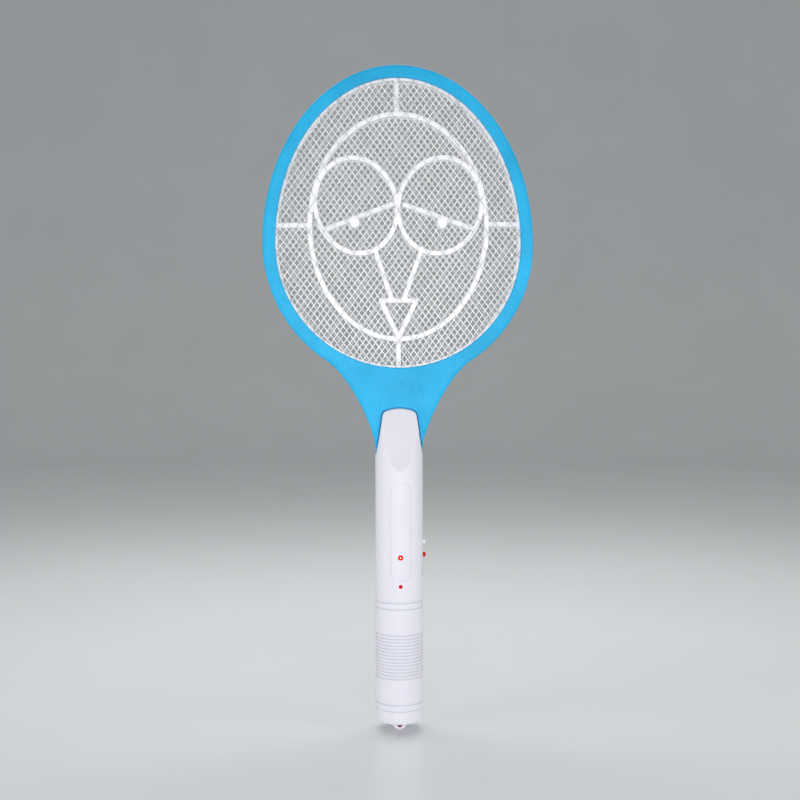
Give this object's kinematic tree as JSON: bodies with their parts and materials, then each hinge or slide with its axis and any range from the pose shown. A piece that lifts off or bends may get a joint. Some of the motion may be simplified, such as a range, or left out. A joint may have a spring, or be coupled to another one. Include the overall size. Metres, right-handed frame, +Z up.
{
  "type": "electric fly swatter",
  "caption": "Racket-shaped electric fly swatter: oval blue head with meshes and white ribs on a round white handle with a push button, a slide switch and a charging port.",
  "frame": {"origin": "lowest point of the end lug, on the handle's axis", "axes": "+Z up along the handle to the head, front (indicators) towards -Y, button and port on +X"},
  "size_m": [0.1992, 0.0354, 0.4888],
  "materials": {
    "blue_abs": "satin moulded ABS",
    "white_abs": "fine satin moulded ABS",
    "white_rib": "bright white moulded plastic",
    "mesh_metal": "bright expanded sheet",
    "nickel": "nickel strip",
    "zinc_steel": "zinc plated",
    "tin_plate": "tin plated",
    "red_lens": "tinted clear epoxy",
    "red_abs": "glossy moulded",
    "black_plastic": "matt moulded",
    "board": "solder mask on glass fibre",
    "ferrite": "sintered ferrite",
    "winding_tape": "polyester tape",
    "capacitor_case": "dipped film capacitor",
    "disc_ceramic": "coated disc",
    "resistor_body": "lacquered",
    "cell_sleeve": "shrink sleeve",
    "red_insulation": "insulated wire",
    "black_insulation": "insulated wire"
  },
  "bodies": {
    "swatter": {"frame_front": "blue_abs", "frame_rear": "blue_abs", "front_mesh": "mesh_metal", "centre_mesh": "mesh_metal", "rear_mesh": "mesh_metal", "front_spacer": "white_rib", "rear_spacer": "white_rib", "guard_bridge": "nickel", "frame_screws": "zinc_steel", "handle_front": "white_abs", "handle_rear": "white_abs", "handle_screws": "zinc_steel", "end_cap": "white_abs", "cap_jewel": "red_lens", "trigger_switch": "black_plastic", "slide_switch": "tin_plate", "led_large": "red_lens", "led_small": "red_lens", "led_legs": "zinc_steel", "circuit_board": "board", "transformer_core": "ferrite", "transformer_winding": "winding_tape", "hv_capacitor": "capacitor_case", "disc_capacitors": "disc_ceramic", "diodes": "black_plastic", "resistors": "resistor_body", "transistor": "black_plastic", "charging_socket": "tin_plate", "socket_tongue": "black_plastic", "battery_cell": "cell_sleeve", "battery_tabs": "nickel", "battery_lead_red": "red_insulation", "battery_lead_black": "black_insulation", "live_mesh_lead": "red_insulation", "guard_mesh_lead": "black_insulation"},
    "button": {"trigger_button": "red_abs", "switch_plunger": "black_plastic"},
    "slider": {"switch_knob": "white_abs", "switch_lever": "black_plastic"}
  },
  "joints": [
    {"name": "button_press", "type": "slide", "parent": "swatter", "child": "button", "axis": [-1, 0, 0], "range_m": [0, 0.001], "stiffness_N_per_m": 900, "springref_m": -0.0006},
    {"name": "power_slide", "type": "slide", "parent": "swatter", "child": "slider", "axis": [0, 0, 1], "range_m": [0, 0.003]}
  ]
}
